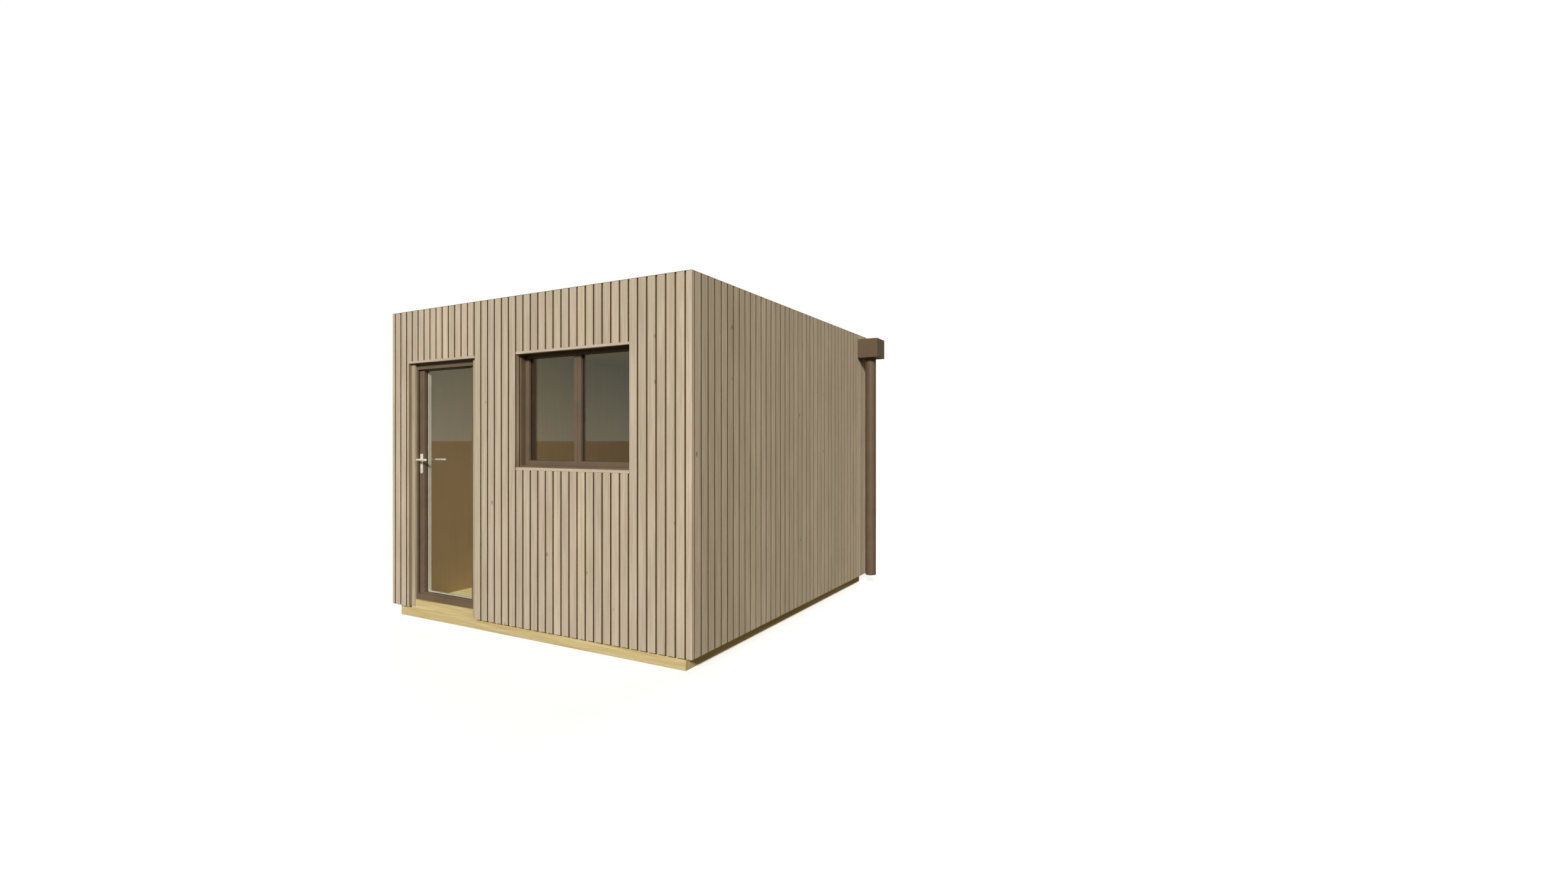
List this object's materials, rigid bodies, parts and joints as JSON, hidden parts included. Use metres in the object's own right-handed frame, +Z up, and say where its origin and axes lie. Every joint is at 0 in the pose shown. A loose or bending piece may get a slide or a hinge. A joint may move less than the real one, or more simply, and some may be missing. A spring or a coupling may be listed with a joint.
{
  "type": "garden studio",
  "caption": "Flat-roofed timber garden studio with grooved vertical cladding, a glazed hinged door, a window and a rainwater hopper with its downpipe.",
  "frame": {"origin": "centre of the base's underside, on the ground under the middle of the building", "axes": "+X to the right of someone facing the door, +Y from the front to the back, +Z up"},
  "size_m": [3.212, 3.0105, 2.472],
  "materials": {
    "base_timber": "pressure-treated softwood, pale yellow",
    "floor_board": "pale oiled softwood boards",
    "wall_panel": "light brown ply lining",
    "batten_timber": "sawn softwood",
    "cladding": "planed vertical boards with a silvered beige stain",
    "cladding_trim": "planed strips with the same beige stain",
    "roof_sheet": "matt dark roofing sheet",
    "roof_metal": "satin folded sheet",
    "rainwater": "satin brown coating",
    "brown_frame": "satin brown window profile",
    "pale_bead": "off-white glazing bead",
    "clear_glass": "clear float glass with a slight bronze tint",
    "handle_metal": "satin metal, warm silver",
    "hinge_metal": "satin steel"
  },
  "bodies": {
    "building": {"rim_joists_front_back": "base_timber", "rim_joists_sides": "base_timber", "floor_joists": "base_timber", "floor_deck": "floor_board", "left_wall": "wall_panel", "right_wall": "wall_panel", "back_wall": "wall_panel", "front_wall_piers": "wall_panel", "front_wall_over_openings": "wall_panel", "front_wall_under_window": "wall_panel", "side_battens": "batten_timber", "left_cladding": "cladding", "right_cladding": "cladding", "back_cladding": "cladding", "front_cladding_piers": "cladding", "front_cladding_over_openings": "cladding", "front_cladding_under_window": "cladding", "head_trims": "cladding_trim", "window_sill_trim": "cladding_trim", "ceiling": "wall_panel", "roof_deck": "batten_timber", "roof_membrane": "roof_sheet", "roof_trim_front_back": "roof_metal", "roof_trim_sides": "roof_metal", "hopper": "rainwater", "downpipe": "rainwater", "roof_outlet": "roof_metal", "door_threshold": "base_timber", "door_frame_sill": "brown_frame", "door_side_trims": "cladding_trim", "door_jamb_left": "brown_frame", "door_jamb_right": "brown_frame", "door_head": "brown_frame", "door_hinge_frame_halves": "hinge_metal", "window_frame": "brown_frame", "window_sashes": "brown_frame", "window_glass": "clear_glass", "window_handle": "handle_metal"},
    "door": {"door_hinge_leaf_halves": "hinge_metal", "door_leaf": "brown_frame", "door_glass": "clear_glass", "door_beads": "pale_bead", "door_handles": "handle_metal"}
  },
  "joints": [
    {"name": "door_hinge", "type": "hinge", "parent": "building", "child": "door", "pos_m": [-0.5395, -1.373, 1.1], "axis": [0, 0, -1], "range_deg": [0, 90]}
  ]
}
